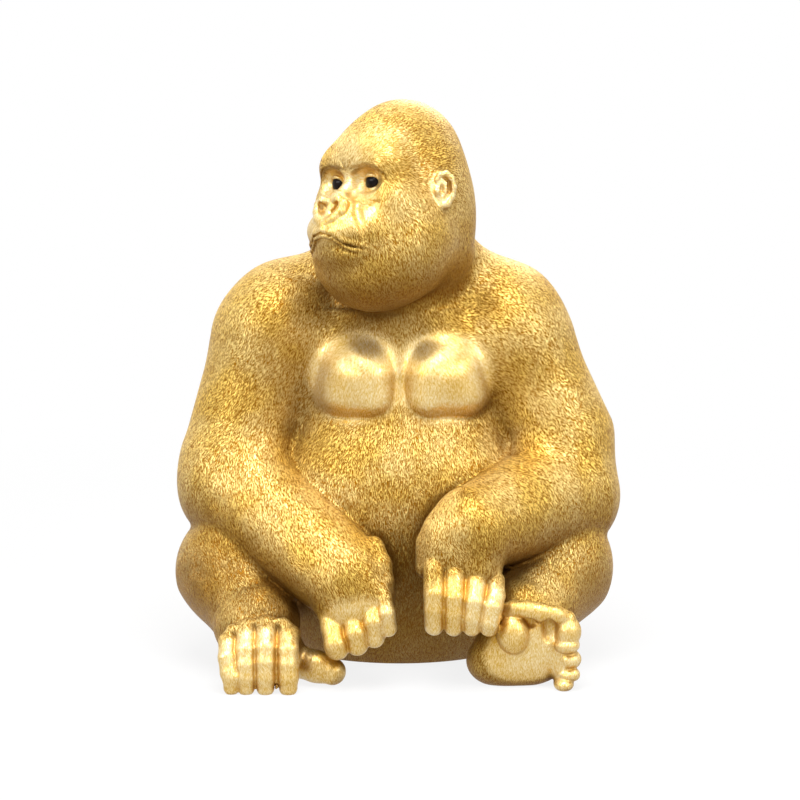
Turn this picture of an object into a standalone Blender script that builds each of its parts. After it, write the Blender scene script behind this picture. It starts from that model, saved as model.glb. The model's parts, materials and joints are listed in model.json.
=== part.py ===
"""Sitting gorilla figurine: one solid casting, and two glossy bead eyes set into its sockets.

The casting is sculpted the way a modeller works in clay. Egg and limb masses are blocked out as
Blender primitives and fused with a voxel Remesh. The skin is then settled onto the smooth blend
of the same masses, the fine forms are pressed in, and the result is reduced and cut flat to stand.

Units are metres. +Z is up, the gorilla's chest faces -Y, and +X is its own left side.
The origin is the middle of the flat underside.
"""

import math

import bmesh
import bpy
import numpy as np
from mathutils import Euler, Matrix, Vector

# Height of the finished figurine. Everything is sculpted near this size, then scaled to it.
HEIGHT = 0.390

# Sculpting resolution
BLOCK_VOXEL = 0.0028
SKIN_VOXEL = 0.0017
CASTING_TRIANGLES = 9900

# Head: where it sits, how far it looks to its right, and how far it leans
HEAD_CENTRE = Vector((-0.005, -0.0255, 0.332))
HEAD_TURN = math.radians(-44.5)
HEAD_LEAN = math.radians(-5)

# Bead eyes and the sockets they are set in
BEAD_RADIUS = 0.0067
SOCKET_GAP = 0.0003
EYE_APART = 0.0162
EYE_BACK = -0.0326
EYE_UP = 0.0026
EYE_SPLAY = math.radians(8)

# Mound of flesh that a bead is set in: wider than the bead, and lower than its front
MOUND_RIM = 0.0034
MOUND_DROP = 0.0014
MOUND_BACK = 0.0018

# Finishes
GOLD = (0.72, 0.47, 0.16)
BLACK = (0.006, 0.005, 0.004)

# Limits of the distance fields
FAR = 1.0
TINY = 1e-9
FLAT_WELD = 1e-5
MOST_STEP = 0.003
NEARBY = 0.012


class Egg:
    """An ellipsoid mass. Its radii run along the axes of a frame."""

    def __init__(self, frame, centre, radii, blend=0.004, carve=False, turn=(0, 0, 0)):
        turned = Euler([math.radians(angle) for angle in turn]).to_matrix()
        self.axes = np.array(frame.to_3x3() @ turned)
        self.centre = np.array(frame @ Vector(centre))
        self.radii = np.array(radii)
        self.blend = blend
        self.carve = carve
        self.middle = self.centre
        self.size = max(radii)

    def distance(self, points):
        local = (points - self.centre) @ self.axes
        near = np.sqrt(((local / self.radii) ** 2).sum(1))
        slope = np.sqrt(((local / self.radii**2) ** 2).sum(1))
        return near * (near - 1) / np.maximum(slope, TINY)

    def block_out(self, ball):
        return self.centre + (ball * self.radii) @ self.axes.T


class Limb:
    """A round bar between two points, with its own radius at each end."""

    def __init__(self, frame, start, end, radii, blend=0.004, carve=False):
        self.start = np.array(frame @ Vector(start))
        self.end = np.array(frame @ Vector(end))
        self.radii = radii
        self.blend = blend
        self.carve = carve
        self.length = np.linalg.norm(self.end - self.start)
        self.middle = (self.start + self.end) / 2
        self.size = self.length / 2 + max(radii)

    def distance(self, points):
        along = (self.end - self.start) / self.length
        taper = (self.radii[0] - self.radii[1]) / self.length
        offset = points - self.start
        height = offset @ along
        out = np.sqrt(np.maximum((offset**2).sum(1) - height**2, 0))
        share = np.clip((height + out * taper) / self.length, 0, 1)
        radius = self.radii[0] + share * (self.radii[1] - self.radii[0])
        return np.hypot(out, height - share * self.length) - radius

    def block_out(self, ball):
        top = (ball @ (self.end - self.start) > 0)[:, None]
        return np.where(top, self.end + ball * self.radii[1], self.start + ball * self.radii[0])


class Group:
    """Masses of one body part. It melts into the figure at its joint and lies against it elsewhere."""

    def __init__(self, masses, joint, reach, melt, crease):
        self.masses = masses
        self.joint = np.array(joint)
        self.reach = reach
        self.melt = melt
        self.crease = crease
        solid = [mass for mass in masses if not mass.carve]
        self.low = np.min([mass.middle - mass.size for mass in solid], axis=0) - NEARBY
        self.high = np.max([mass.middle + mass.size for mass in solid], axis=0) + NEARBY

    def distance(self, points):
        total = np.full(len(points), FAR)
        for mass in self.masses:
            reach = mass.size + NEARBY + mass.blend
            near = np.flatnonzero(((points - mass.middle) ** 2).sum(1) < reach**2)
            found = mass.distance(points[near])
            if mass.carve:
                total[near] = -blended(-total[near], found, mass.blend)
            else:
                total[near] = blended(total[near], found, mass.blend)
        return total

    def blend_at(self, points):
        from_joint = ((points - self.joint) ** 2).sum(1) / self.reach**2
        return self.crease + (self.melt - self.crease) * np.exp(-from_joint)


def blended(one, other, width):
    """The smooth union of two distances: a fillet about as wide as width fills their crease."""
    share = np.clip(0.5 + 0.5 * (other - one) / width, 0, 1)
    return other * (1 - share) + one * share - width * share * (1 - share)


def laid(masses, frame, points, sunk=0.0):
    """The points of a frame, moved onto the skin of the masses or a little under it."""
    group = Group(masses, (0, 0, 0), 1, 0, 0)
    placed = np.array([frame @ Vector(point) for point in points])
    step = 0.0002
    for _ in range(8):
        here = group.distance(placed)
        slope = [(group.distance(placed + axis) - here) / step for axis in np.eye(3) * step]
        slope = np.stack(slope, axis=1)
        slope /= np.maximum(np.linalg.norm(slope, axis=1), TINY)[:, None]
        placed -= slope * (here + sunk)[:, None]
    back = frame.inverted()
    return [tuple(back @ Vector(point)) for point in placed]


WORLD = Matrix.Identity(4)
HEAD = (
    Matrix.Translation(HEAD_CENTRE)
    @ Matrix.Rotation(HEAD_TURN, 4, "Z")
    @ Matrix.Rotation(HEAD_LEAN, 4, "Y")
)


def chain(frame, points, radii, blend=0.004, carve=False):
    """Limbs end to end through the points, with one radius at each."""
    return [
        Limb(frame, start, end, ends, blend, carve)
        for start, end, ends in zip(points, points[1:], zip(radii, radii[1:]))
    ]


WEB_RADIUS = 0.0042
WEB_SUNK = Vector((0, 0.0024, -0.0010))


def webs(digits):
    """Bars sunk between neighbouring digits, given the bones of each, so that their grooves are shallow."""
    masses = []
    for one, other in zip(digits, digits[1:]):
        middle = [Vector(near).lerp(Vector(far), 0.5) + WEB_SUNK for near, far in zip(one, other)]
        masses += chain(WORLD, middle[:-1], [WEB_RADIUS] * (len(middle) - 1), 0.0008)
    return masses


def torso():
    masses = [
        Egg(WORLD, (0, 0.026, 0.056), (0.110, 0.098, 0.092), 0.03),
        Egg(WORLD, (0, -0.004, 0.106), (0.096, 0.071, 0.084), 0.03),
        Egg(WORLD, (0, 0.052, 0.150), (0.098, 0.066, 0.088), 0.03),
        Egg(WORLD, (0, 0.018, 0.196), (0.088, 0.060, 0.060), 0.03),
        Egg(WORLD, (0, 0.044, 0.218), (0.092, 0.054, 0.048), 0.03),
        Limb(WORLD, (-0.070, 0.020, 0.242), (0.066, 0.022, 0.240), (0.027, 0.027), 0.02),
    ]
    for side in (-1, 1):
        slope = ((side * 0.018, 0.020, 0.282), (side * 0.076, 0.022, 0.246))
        masses.append(Limb(WORLD, *slope, (0.022, 0.025), 0.02))
    return Group(masses, (0, 0, 0), 1, 0.01, 0.01)


def pec(side):
    """A full cushion of chest, creased below and down the middle, narrower on the figure's right."""
    outer = 0.0400 if side > 0 else 0.0355
    masses = [
        Egg(WORLD, (side * 0.0230, -0.0215, 0.1985), (0.0250, 0.0350, 0.0285), 0.014),
        Egg(WORLD, (side * outer, -0.0155, 0.1985), (0.0225, 0.0330, 0.0285), 0.014),
        Egg(WORLD, (side * 0.0190, -0.0225, 0.1835), (0.0200, 0.0330, 0.0160), 0.010),
        Egg(WORLD, (side * (outer + 0.0020), -0.0165, 0.1850), (0.0215, 0.0320, 0.0175), 0.010),
    ]
    return Group(masses, (side * 0.058, -0.010, 0.236), 0.038, 0.030, 0.0020)


def skull_masses():
    masses = [
        Egg(HEAD, (0, 0.009, -0.002), (0.044, 0.048, 0.050), 0.012),
        Egg(HEAD, (0, 0.012, 0.021), (0.034, 0.042, 0.037), 0.012),
        Egg(HEAD, (0, -0.012, 0.021), (0.033, 0.027, 0.021), 0.012),
        Egg(HEAD, (0, 0.026, -0.030), (0.040, 0.034, 0.052), 0.016),
        Egg(HEAD, (0, -0.020, -0.050), (0.042, 0.041, 0.036), 0.016),
        Limb(HEAD, (-0.022, -0.0275, 0.013), (0.022, -0.0275, 0.013), (0.0145, 0.0145), 0.010),
        Limb(HEAD, (-0.024, -0.0250, -0.010), (0.024, -0.0250, -0.010), (0.0185, 0.0185), 0.008),
    ]
    for side in (-1, 1):
        masses.append(Egg(HEAD, (side * 0.025, -0.012, -0.038), (0.025, 0.034, 0.034), 0.014))
    return masses


CREASE_RADII = (0.0008, 0.0012, 0.0013, 0.0012, 0.0009, 0.0006)


def brow_masses(side, skin):
    """The socket is sunk under the brow, with a crisp crease along its top."""
    crease = [
        (side * 0.0010, -0.0445, 0.0115),
        (side * 0.0070, -0.0440, 0.0130),
        (side * 0.0170, -0.0425, 0.0145),
        (side * 0.0240, -0.0395, 0.0130),
        (side * 0.0285, -0.0365, 0.0085),
        (side * 0.0300, -0.0350, 0.0035),
    ]
    return [
        Egg(HEAD, (side * 0.0168, -0.0448, 0.0046), (0.0145, 0.0098, 0.0096), 0.0015, carve=True),
        *chain(HEAD, laid(skin, HEAD, crease), CREASE_RADII, 0.0010, carve=True),
    ]


def eye_frame(side):
    place = Matrix.Translation((side * EYE_APART, EYE_BACK, EYE_UP))
    return HEAD @ place @ Matrix.Rotation(side * EYE_SPLAY, 4, "Z")


def eye_masses(side):
    """A mound of flesh under the brow that the bead is set in."""
    frame = eye_frame(side)
    mound = (BEAD_RADIUS + MOUND_RIM, BEAD_RADIUS - MOUND_DROP, BEAD_RADIUS + MOUND_RIM * 0.6)
    return [Egg(frame, (0, MOUND_BACK, 0), mound, 0.0020)]


def nose_masses():
    masses = [
        Limb(HEAD, (0, -0.031, 0.008), (0, -0.050, -0.006), (0.0042, 0.0050), 0.004),
        Egg(HEAD, (0, -0.0530, -0.0150), (0.0140, 0.0080, 0.0110), 0.005),
        Limb(HEAD, (0, -0.0590, -0.0090), (0, -0.0630, -0.0170), (0.0020, 0.0024), 0.0015),
    ]
    for side in (-1, 1):
        wing = [
            (side * 0.0030, -0.0590, -0.0080),
            (side * 0.0075, -0.0595, -0.0076),
            (side * 0.0116, -0.0590, -0.0104),
            (side * 0.0110, -0.0610, -0.0152),
            (side * 0.0072, -0.0645, -0.0200),
            (side * 0.0008, -0.0670, -0.0235),
        ]
        masses += chain(HEAD, wing, (0.0022, 0.0033, 0.0038, 0.0041, 0.0041, 0.0036), 0.0012)
    for side in (-1, 1):
        place, radii = (side * 0.0064, -0.0628, -0.0124), (0.0026, 0.0044, 0.0048)
        masses.append(Egg(HEAD, place, radii, 0.0010, carve=True, turn=(0, side * 35, 0)))
    return masses


def muzzle_masses():
    return [
        Egg(HEAD, (0, -0.042, -0.029), (0.033, 0.026, 0.021), 0.008),
        Egg(HEAD, (0, -0.051, -0.028), (0.025, 0.019, 0.013), 0.005),
        Egg(HEAD, (0, -0.046, -0.043), (0.027, 0.021, 0.013), 0.006),
    ]


def mouth_masses(skin):
    """A frowning line under a rolled lip."""
    line = [
        (0.0240, -0.0540, -0.0415),
        (0.0190, -0.0580, -0.0395),
        (0.0140, -0.0620, -0.0358),
        (0.0070, -0.0670, -0.0302),
        (0.0000, -0.0690, -0.0287),
    ]
    line += [(-x, y, z) for x, y, z in reversed(line[:-1])]
    sizes = (0.0006, 0.0009, 0.0011, 0.0012, 0.0012, 0.0012, 0.0011, 0.0009, 0.0006)
    line = laid(skin, HEAD, line)
    upper = laid(skin, HEAD, [(x, y, z + 0.0026) for x, y, z in line], 0.0008)
    return [
        *chain(HEAD, upper, [size + 0.0007 for size in sizes], 0.0020),
        *chain(HEAD, line, sizes, 0.0012, carve=True),
    ]


FOLD_LIFT = -0.0014


def cheek_masses(side, skin):
    """The groove that runs from the nose down to the corner of the mouth."""
    fold = [
        (side * 0.0120, -0.0500, -0.0060),
        (side * 0.0160, -0.0520, -0.0120),
        (side * 0.0190, -0.0540, -0.0190),
        (side * 0.0210, -0.0540, -0.0260),
        (side * 0.0225, -0.0530, -0.0330),
    ]
    groove = laid(skin, HEAD, fold, FOLD_LIFT)
    return chain(HEAD, groove, (0.0012, 0.0026, 0.0034, 0.0032, 0.0014), 0.0020, carve=True)


def ear_masses(side):
    """A thick C of rim around a folded cup."""
    rim = [
        (side * 0.0450, -0.0030, 0.0015),
        (side * 0.0465, -0.0010, 0.0050),
        (side * 0.0485, 0.0030, 0.0055),
        (side * 0.0500, 0.0062, 0.0018),
        (side * 0.0505, 0.0072, -0.0040),
        (side * 0.0495, 0.0058, -0.0100),
        (side * 0.0475, 0.0026, -0.0150),
        (side * 0.0455, -0.0004, -0.0160),
    ]
    fold = [
        (side * 0.0465, 0.0000, 0.0015),
        (side * 0.0475, 0.0030, -0.0010),
        (side * 0.0475, 0.0026, -0.0060),
        (side * 0.0465, 0.0000, -0.0090),
    ]
    return [
        Egg(HEAD, (side * 0.0435, 0.0020, -0.0050), (0.0050, 0.0065, 0.0120), 0.003),
        *chain(HEAD, rim, (0.0014, 0.0018, 0.0021, 0.0022, 0.0022, 0.0023, 0.0027, 0.0024), 0.0012),
        *chain(HEAD, fold, (0.0009, 0.0012, 0.0012, 0.0009), 0.0010),
        Egg(HEAD, (side * 0.0455, -0.0040, -0.0060), (0.0022, 0.0018, 0.0032), 0.0015),
        Egg(HEAD, (side * 0.0485, -0.0008, -0.0050), (0.0026, 0.0016, 0.0040), 0.0010, carve=True),
        Egg(HEAD, (side * 0.0490, 0.0048, -0.0040), (0.0018, 0.0010, 0.0060), 0.0010, carve=True),
    ]


def head():
    skin = skull_masses() + muzzle_masses()
    masses = skin + mouth_masses(skin)
    for side in (-1, 1):
        masses += brow_masses(side, skin) + cheek_masses(side, skin) + ear_masses(side)
    for side in (-1, 1):
        masses += eye_masses(side)
    masses += nose_masses()
    return Group(masses, HEAD @ Vector((0, 0.030, -0.050)), 0.045, 0.016, 0.003)


def neck():
    masses = [
        Limb(WORLD, (0, 0.020, 0.250), (0.002, 0.004, 0.300), (0.058, 0.040), 0.03),
    ]
    return Group(masses, (0, 0.02, 0.26), 0.2, 0.03, 0.03)


def right_arm():
    """The gorilla's right arm, on the viewer's left."""
    masses = [
        Egg(WORLD, (-0.087, 0.012, 0.226), (0.038, 0.046, 0.046), 0.02),
        Limb(WORLD, (-0.094, 0.006, 0.218), (-0.112, -0.008, 0.142), (0.038, 0.041), 0.02),
        Limb(WORLD, (-0.115, -0.022, 0.120), (-0.036, -0.092, 0.070), (0.041, 0.031), 0.015),
    ]
    return Group(masses, (-0.085, 0.01, 0.23), 0.06, 0.03, 0.004)


def left_arm():
    masses = [
        Egg(WORLD, (0.079, 0.014, 0.222), (0.037, 0.046, 0.045), 0.02),
        Limb(WORLD, (0.087, 0.010, 0.212), (0.111, -0.004, 0.152), (0.037, 0.041), 0.02),
        Limb(WORLD, (0.112, -0.020, 0.114), (0.050, -0.090, 0.104), (0.043, 0.030), 0.015),
    ]
    return Group(masses, (0.085, 0.01, 0.23), 0.06, 0.03, 0.004)


def right_leg():
    masses = [
        Limb(WORLD, (-0.055, 0.045, 0.050), (-0.112, -0.032, 0.066), (0.050, 0.042), 0.02),
        Limb(WORLD, (-0.113, -0.040, 0.060), (-0.098, -0.080, 0.037), (0.040, 0.030), 0.015),
    ]
    return Group(masses, (-0.055, 0.045, 0.05), 0.06, 0.03, 0.004)


def left_leg():
    masses = [
        Limb(WORLD, (0.055, 0.045, 0.048), (0.106, -0.026, 0.070), (0.050, 0.041), 0.02),
        Limb(WORLD, (0.106, -0.036, 0.060), (0.084, -0.082, 0.040), (0.040, 0.030), 0.015),
    ]
    return Group(masses, (0.055, 0.045, 0.05), 0.06, 0.03, 0.004)


def left_hand():
    """Fingers that hang over the left foot, with the thumb tucked in beside them."""
    masses = [
        Egg(WORLD, (0.029, -0.098, 0.091), (0.017, 0.021, 0.029), 0.008),
        Egg(WORLD, (0.051, -0.097, 0.084), (0.019, 0.021, 0.028), 0.012),
        Limb(WORLD, (0.018, -0.100, 0.096), (0.0165, -0.106, 0.080), (0.0070, 0.0060), 0.004),
    ]
    fingers = (
        (0.0228, 0.000, 0.083, 0.0450, 0.0072),
        (0.0360, 0.000, 0.078, 0.0445, 0.0072),
        (0.0502, -0.002, 0.072, 0.0445, 0.0072),
        (0.0635, -0.004, 0.066, 0.0440, 0.0070),
    )
    digits = []
    for x, lean, knuckle, tip, radius in fingers:
        middle = (knuckle + tip) / 2
        bones = [
            (x, -0.1060, knuckle + 0.006),
            (x, -0.1160, knuckle - 0.002),
            (x + lean / 2, -0.1235, middle + 0.003),
            (x + lean, -0.1245, middle - 0.007),
            (x + lean, -0.1220, tip),
        ]
        sizes = (radius, radius, radius, radius * 0.97, radius * 0.90)
        masses += chain(WORLD, bones, sizes, 0.0012)
        digits.append(bones)
    masses += webs(digits)
    return Group(masses, (0.046, -0.092, 0.108), 0.022, 0.014, 0.002)


def right_hand():
    """A loose fist with its knuckles forward, between the feet."""
    thumb = [(-0.018, -0.092, 0.092), (-0.012, -0.102, 0.082), (-0.009, -0.106, 0.072)]
    masses = [
        Egg(WORLD, (-0.030, -0.104, 0.058), (0.028, 0.020, 0.024), 0.008, turn=(0, -28, 0)),
        *chain(WORLD, thumb, (0.0075, 0.0065, 0.0055), 0.003),
    ]
    fingers = (
        (-0.0098, 0.0640, 0.0430, 0.0058),
        (-0.0190, 0.0580, 0.0362, 0.0066),
        (-0.0305, 0.0505, 0.0315, 0.0072),
        (-0.0440, 0.0430, 0.0290, 0.0078),
    )
    digits = []
    for x, knuckle, low, radius in fingers:
        bones = [
            (x - 0.004, -0.1060, knuckle + 0.010),
            (x - 0.001, -0.1155, knuckle - 0.002),
            (x + 0.001, -0.1215, knuckle - 0.011),
            (x + 0.002, -0.1195, low),
            (x + 0.001, -0.1060, low - 0.001),
        ]
        masses += chain(WORLD, bones, [radius] * 5, 0.0012)
        digits.append(bones)
    masses += webs(digits)
    return Group(masses, (-0.036, -0.090, 0.070), 0.022, 0.014, 0.002)


def right_foot():
    """Four toes hang over the front like fingers under a raised edge. The big toe points across."""
    masses = [
        Egg(WORLD, (-0.0930, -0.097, 0.0205), (0.0285, 0.025, 0.0235), 0.008),
        Egg(WORLD, (-0.092, -0.074, 0.014), (0.021, 0.022, 0.020), 0.010),
    ]
    toes = (
        (-0.1150, 0.0027, 0.0368, 0.0064),
        (-0.1028, 0.0003, 0.0422, 0.0069),
        (-0.0896, 0.0000, 0.0446, 0.0072),
        (-0.0748, 0.0004, 0.0428, 0.0074),
    )
    digits = []
    for x, lean, top, radius in toes:
        bend = top - radius
        bones = [
            (x * 0.7 - 0.0290, -0.1000, bend - 0.002),
            (x, -0.1140, bend),
            (x, -0.1225, bend - 0.0070),
            (x + lean / 2, -0.1262, bend - 0.0165),
            (x + lean, -0.1275, 0.0110),
            (x + lean, -0.1268, 0.0040),
        ]
        sizes = (radius, radius, radius, radius * 0.96, radius * 0.95, radius * 0.84)
        masses += chain(WORLD, bones, sizes, 0.0012)
        digits.append(bones)
    masses += webs(digits)
    edge = [
        (-0.1190, -0.1100, 0.0325),
        (-0.1125, -0.1100, 0.0390),
        (-0.1020, -0.1100, 0.0430),
        (-0.0900, -0.1100, 0.0452),
        (-0.0780, -0.1100, 0.0436),
        (-0.0690, -0.1090, 0.0370),
    ]
    masses += chain(WORLD, edge, (0.0024, 0.0030, 0.0030, 0.0030, 0.0030, 0.0024), 0.004)
    big_toe = [(-0.072, -0.094, 0.014), (-0.056, -0.104, 0.012), (-0.0455, -0.108, 0.0098)]
    masses += chain(WORLD, big_toe, (0.0115, 0.0105, 0.0092), 0.003)
    return Group(masses, (-0.094, -0.070, 0.030), 0.026, 0.010, 0.002)


def left_foot():
    """The sole faces forward, its toes stacked beside it and the big toe curled over it."""
    ridge = [
        (0.0680, -0.1090, 0.0440),
        (0.0695, -0.1110, 0.0510),
        (0.0760, -0.1140, 0.0545),
        (0.0850, -0.1160, 0.0545),
        (0.0943, -0.1165, 0.0528),
        (0.1042, -0.1160, 0.0510),
        (0.1125, -0.1140, 0.0480),
    ]
    masses = [
        Egg(WORLD, (0.085, -0.104, 0.028), (0.033, 0.0145, 0.029), 0.010),
        Egg(WORLD, (0.065, -0.099, 0.015), (0.020, 0.016, 0.017), 0.010),
        *chain(WORLD, ridge, (0.0046, 0.0050, 0.0054, 0.0056, 0.0058, 0.0056, 0.0052), 0.004),
        Limb(WORLD, (0.1120, -0.1110, 0.034), (0.1100, -0.1125, 0.004), (0.0075, 0.0065), 0.004),
        Egg(WORLD, (0.1126, -0.1130, 0.0388), (0.0091, 0.0105, 0.0105), 0.002),
        Egg(WORLD, (0.1118, -0.1150, 0.0302), (0.0088, 0.0095, 0.0060), 0.0008),
        Egg(WORLD, (0.1140, -0.1120, 0.0195), (0.0080, 0.0095, 0.0068), 0.0012),
        Egg(WORLD, (0.1132, -0.1130, 0.0095), (0.0078, 0.0090, 0.0052), 0.0012),
        Egg(WORLD, (0.1170, -0.1180, 0.0105), (0.0038, 0.0050, 0.0042), 0.0012),
        Egg(WORLD, (0.1100, -0.1165, 0.0035), (0.0068, 0.0085, 0.0048), 0.0012),
        Egg(WORLD, (0.1000, -0.1175, 0.0420), (0.0046, 0.0050, 0.0095), 0.003, carve=True),
        Egg(WORLD, (0.0865, -0.1165, 0.0465), (0.0050, 0.0040, 0.0040), 0.003, carve=True),
        Egg(WORLD, (0.0758, -0.1150, 0.0375), (0.0112, 0.0115, 0.0140), 0.0015, turn=(0, -9, 0)),
    ]
    return Group(masses, (0.078, -0.080, 0.04), 0.028, 0.010, 0.002)


def figure():
    return [
        torso(),
        pec(-1),
        pec(1),
        neck(),
        head(),
        right_leg(),
        left_leg(),
        right_arm(),
        left_arm(),
        left_hand(),
        right_hand(),
        right_foot(),
        left_foot(),
    ]


def field(groups, points):
    """The distance of each point from the skin of the finished figure, negative inside."""
    total = np.full(len(points), FAR)
    for group in groups:
        near = np.flatnonzero(((points > group.low) & (points < group.high)).all(1))
        close = points[near]
        total[near] = blended(total[near], group.distance(close), group.blend_at(close))
    return total


def unit_ball():
    bm = bmesh.new()
    bmesh.ops.create_icosphere(bm, subdivisions=3, radius=1)
    points = np.array([vertex.co for vertex in bm.verts])
    faces = np.array([[vertex.index for vertex in face.verts] for face in bm.faces])
    bm.free()
    return points, faces


def blocked_out(groups):
    """The solid masses as plain balls and capsules in one mesh, still running through each other."""
    ball, ball_faces = unit_ball()
    solid = [mass for group in groups for mass in group.masses if not mass.carve]
    points = np.concatenate([mass.block_out(ball) for mass in solid])
    faces = np.concatenate([ball_faces + index * len(ball) for index in range(len(solid))])
    mesh = bpy.data.meshes.new("gorilla")
    mesh.from_pydata(points.tolist(), [], faces.tolist())
    gorilla = bpy.data.objects.new("gorilla", mesh)
    bpy.context.scene.collection.objects.link(gorilla)
    return gorilla


def apply_modifiers(obj):
    graph = bpy.context.evaluated_depsgraph_get()
    made = bpy.data.meshes.new_from_object(obj.evaluated_get(graph))
    obj.modifiers.clear()
    obj.data = made


def remeshed(obj, voxel):
    remesh = obj.modifiers.new("fuse", "REMESH")
    remesh.mode = "VOXEL"
    remesh.voxel_size = voxel
    apply_modifiers(obj)


def coordinates(mesh):
    found = np.empty(len(mesh.vertices) * 3)
    mesh.vertices.foreach_get("co", found)
    return found.reshape(-1, 3)


def normals(mesh):
    found = np.empty(len(mesh.vertices) * 3)
    mesh.vertex_normals.foreach_get("vector", found)
    return found.reshape(-1, 3)


def settle(obj, groups, rounds):
    """Moves the skin along its normals until it lies on the blended masses, evening its faces."""
    mesh = obj.data
    edges = np.empty(len(mesh.edges) * 2, int)
    mesh.edges.foreach_get("vertices", edges)
    first, second = edges.reshape(-1, 2).T
    count = np.bincount(edges, minlength=len(mesh.vertices))[:, None]
    for turn in range(rounds):
        points = coordinates(mesh)
        outward = normals(mesh)
        if turn < rounds - 1:
            middle = np.zeros_like(points)
            for axis in range(3):
                middle[:, axis] += np.bincount(first, points[second, axis], len(points))
                middle[:, axis] += np.bincount(second, points[first, axis], len(points))
            slide = middle / count - points
            points += 0.4 * (slide - outward * (slide * outward).sum(1)[:, None])
        gap = field(groups, points)
        points -= outward * np.clip(gap, -MOST_STEP, MOST_STEP)[:, None]
        mesh.vertices.foreach_set("co", points.ravel())
        mesh.update()


def reduced(obj, triangles):
    """Fewer triangles, kept densest where the shape is finest."""
    triangulate = obj.modifiers.new("triangles", "TRIANGULATE")
    triangulate.quad_method = "SHORTEST_DIAGONAL"
    apply_modifiers(obj)
    decimate = obj.modifiers.new("reduce", "DECIMATE")
    decimate.ratio = min(1, triangles / len(obj.data.polygons))
    apply_modifiers(obj)


def cut_flat(obj):
    """Saws the underside off at z = 0 and closes it with one flat face."""
    bm = bmesh.new()
    bm.from_mesh(obj.data)
    whole = bm.verts[:] + bm.edges[:] + bm.faces[:]
    cut = bmesh.ops.bisect_plane(
        bm, geom=whole, dist=FLAT_WELD, plane_co=(0, 0, 0), plane_no=(0, 0, 1), clear_inner=True
    )
    rim = [edge for edge in cut["geom_cut"] if isinstance(edge, bmesh.types.BMEdge)]
    bmesh.ops.holes_fill(bm, edges=rim)
    bmesh.ops.triangulate(bm, faces=bm.faces[:])
    bm.to_mesh(obj.data)
    bm.free()


def ball_object(name, place, radius):
    bm = bmesh.new()
    bmesh.ops.create_uvsphere(bm, u_segments=32, v_segments=18, radius=radius, matrix=place)
    bmesh.ops.triangulate(bm, faces=bm.faces[:])
    mesh = bpy.data.meshes.new(name)
    bm.to_mesh(mesh)
    bm.free()
    ball = bpy.data.objects.new(name, mesh)
    bpy.context.scene.collection.objects.link(ball)
    return ball


def sunk(casting, place):
    """Sinks a ball-shaped socket into the casting, a little roomier than its bead."""
    cutter = ball_object("cutter", place, BEAD_RADIUS + SOCKET_GAP)
    socket = casting.modifiers.new("socket", "BOOLEAN")
    socket.operation = "DIFFERENCE"
    socket.solver = "EXACT"
    socket.object = cutter
    apply_modifiers(casting)
    bpy.data.objects.remove(cutter)


def finish(obj, name, colour, metallic, roughness):
    material = bpy.data.materials.new(name)
    material.use_nodes = True
    shader = material.node_tree.nodes["Principled BSDF"]
    shader.inputs["Base Color"].default_value = (*colour, 1)
    shader.inputs["Metallic"].default_value = metallic
    shader.inputs["Roughness"].default_value = roughness
    obj.data.materials.clear()
    obj.data.materials.append(material)


def stand_at_origin(objects, casting):
    """Centres the casting's outline over the origin, and scales everything to the height."""
    points = coordinates(casting.data)
    low, high = points.min(0), points.max(0)
    middle = (low + high) / 2
    to_size = Matrix.Scale(HEIGHT / (high[2] - low[2]), 4)
    for obj in objects:
        obj.data.transform(to_size @ Matrix.Translation((-middle[0], -middle[1], 0)))


def main():
    for obj in list(bpy.data.objects):
        bpy.data.objects.remove(obj)
    groups = figure()
    casting = blocked_out(groups)
    remeshed(casting, BLOCK_VOXEL)
    settle(casting, groups, 4)
    remeshed(casting, SKIN_VOXEL)
    settle(casting, groups, 3)
    reduced(casting, CASTING_TRIANGLES)
    cut_flat(casting)
    finish(casting, "gold_lacquer", GOLD, 0.9, 0.35)
    made = [casting]
    for name, side in (("eye_left", 1), ("eye_right", -1)):
        place = HEAD @ Matrix.Translation((side * EYE_APART, EYE_BACK, EYE_UP))
        sunk(casting, place)
        bead = ball_object(name, place, BEAD_RADIUS)
        finish(bead, f"{name}_black", BLACK, 0.0, 0.05)
        made.append(bead)
    stand_at_origin(made, casting)
    figurine = bpy.data.collections.new("gorilla_figurine")
    bpy.context.scene.collection.children.link(figurine)
    for obj in made:
        figurine.objects.link(obj)
        bpy.context.scene.collection.objects.unlink(obj)


if __name__ == "__main__":
    main()
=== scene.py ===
"""Looks of the sitting gorilla figurine: a gold-lacquered casting with fur pressed into its skin.

The casting is sculpted again from the masses that the solid was made of, at a finer grain and with
the small forms that only the looks need. The fur is a pattern in the material. It follows a flow
that is laid over the skin from guide strokes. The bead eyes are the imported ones.

Units are metres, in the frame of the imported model.
"""

import json
import math

import bmesh
import bpy
import numpy as np
from mathutils import Euler, Matrix, Vector

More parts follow.
